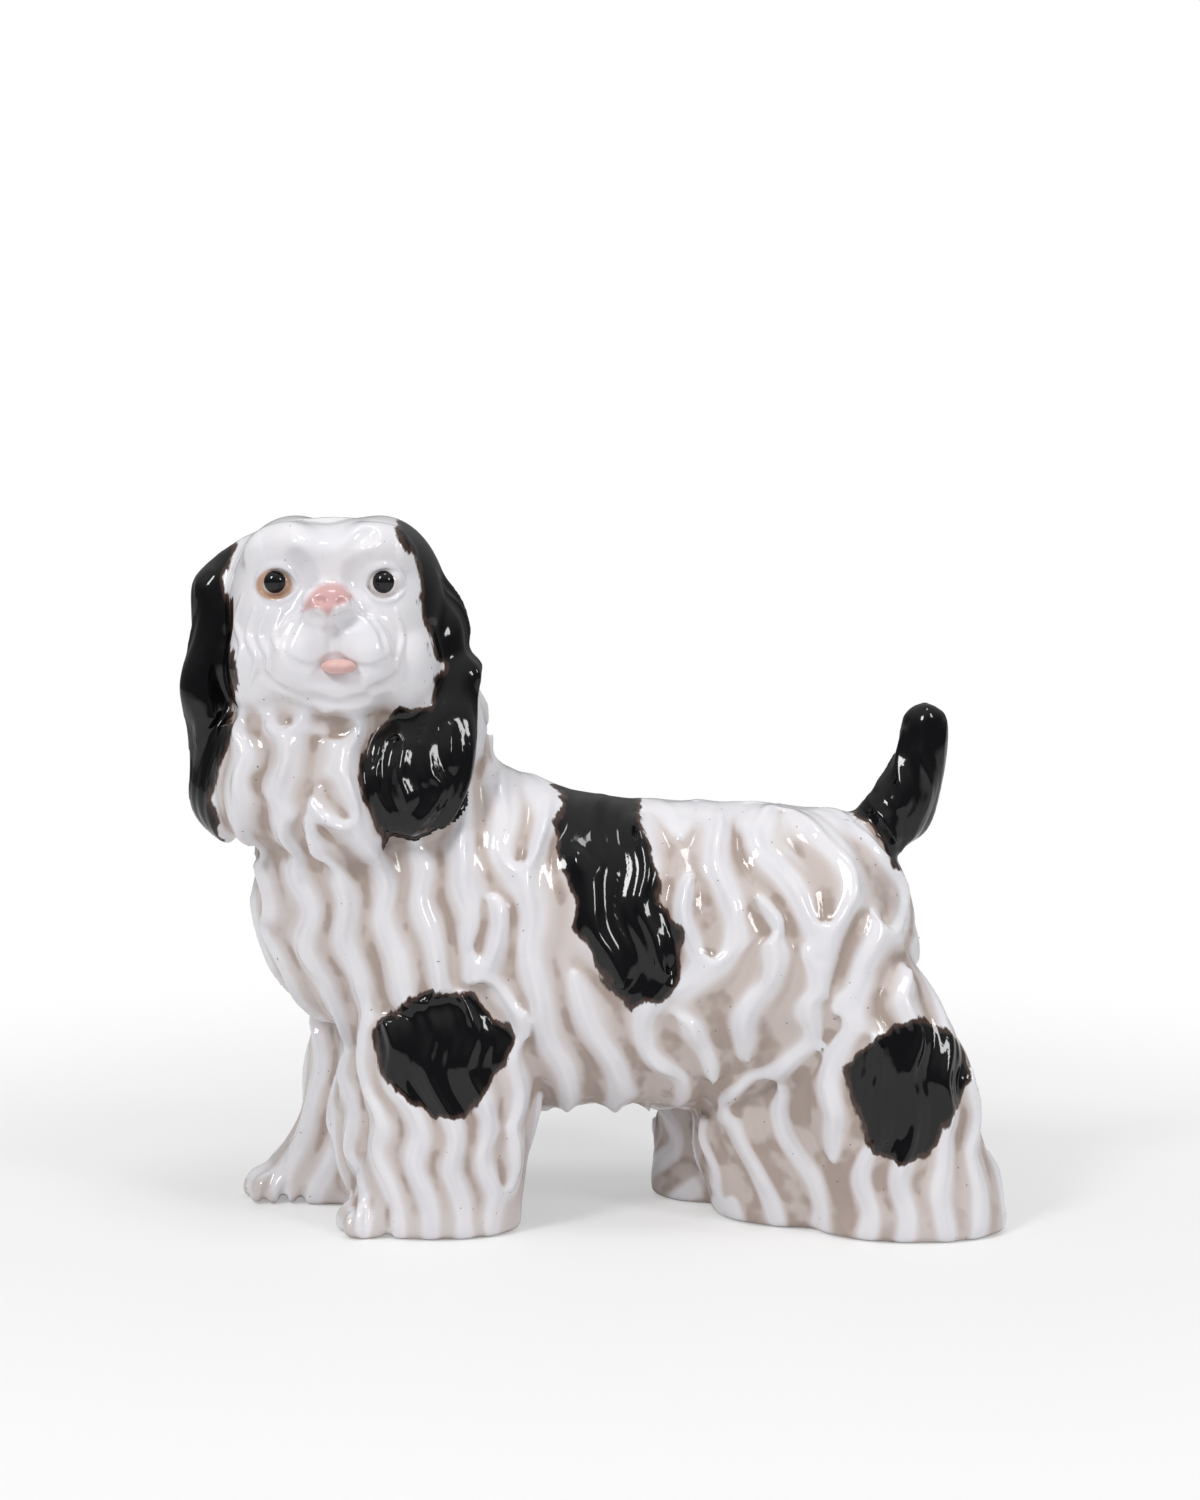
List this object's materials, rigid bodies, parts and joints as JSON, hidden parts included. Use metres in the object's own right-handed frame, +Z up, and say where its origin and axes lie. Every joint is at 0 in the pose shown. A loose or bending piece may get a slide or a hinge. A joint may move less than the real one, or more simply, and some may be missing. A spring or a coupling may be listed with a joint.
{
  "type": "standing spaniel figure",
  "caption": "Glazed earthenware ornament: a standing long-haired spaniel with its head turned to one side, hollow castings luted together.",
  "frame": {"origin": "on the surface the figure stands on, under the middle of its outline", "axes": "+Z up, +X from the chest to the tail, -Y the side that the face looks to"},
  "size_m": [0.3115, 0.1143, 0.2666],
  "materials": {
    "white_glaze": "glossy clear glaze over white clay, brown wash in the hollows of the coat, black painted patches",
    "black_glaze": "glossy black painted glaze with brushed edges",
    "black_enamel": "glossy black enamel",
    "pink_glaze": "glossy pale pink glaze"
  },
  "bodies": {
    "root": {"body_casting": "white_glaze", "fore_legs_casting": "white_glaze", "hind_legs_casting": "white_glaze", "head_casting": "white_glaze", "left_ear": "black_glaze", "right_ear": "black_glaze", "tail_casting": "black_glaze", "left_eye": "black_enamel", "right_eye": "black_enamel", "tongue": "pink_glaze"}
  },
  "joints": []
}
